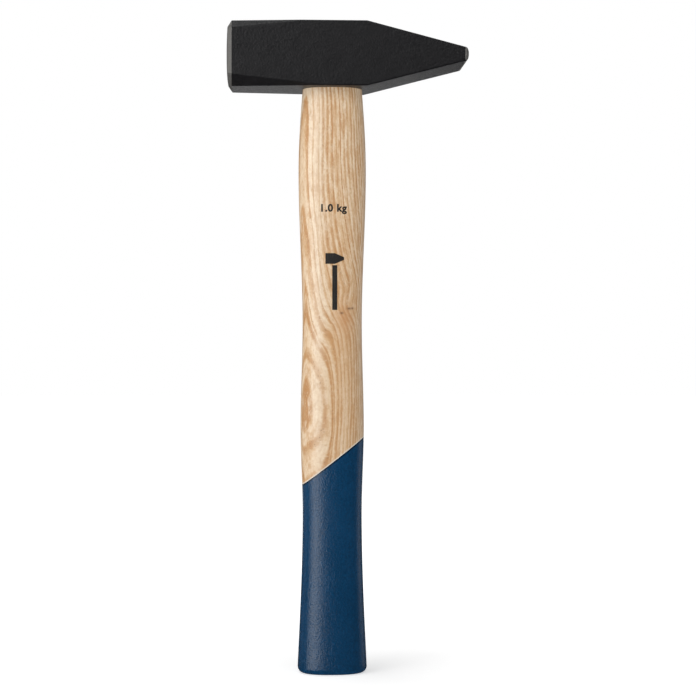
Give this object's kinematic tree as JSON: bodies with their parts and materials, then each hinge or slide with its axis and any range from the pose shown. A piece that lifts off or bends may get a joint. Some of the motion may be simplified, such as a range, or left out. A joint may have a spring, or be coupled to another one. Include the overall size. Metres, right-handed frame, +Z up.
{
  "type": "cross peen hammer",
  "caption": "Cross peen hammer: square forged head with a crowned striking face and a tapered cross peen, wedged on a double-curved ash handle with a dipped grip.",
  "frame": {"origin": "centre of the flat butt end of the grip, on the handle's axis", "axes": "+Z up the handle towards the head, which is the longest extent; the striking face looks along -X, the peen points along +X, and the cheeks look along -Y and +Y"},
  "size_m": [0.135, 0.036, 0.3658],
  "materials": {
    "head_lacquer": "satin",
    "ground_steel": "satin",
    "ash_wood": "satin",
    "wedge_wood": "matte",
    "wedge_steel": "satin",
    "grip_paint": "satin",
    "print_ink": "matte"
  },
  "bodies": {
    "root": {"head": "head_lacquer", "handle": "ash_wood", "wooden_wedge": "wedge_wood", "ring_wedge": "wedge_steel", "grip_coat": "grip_paint"}
  },
  "joints": []
}
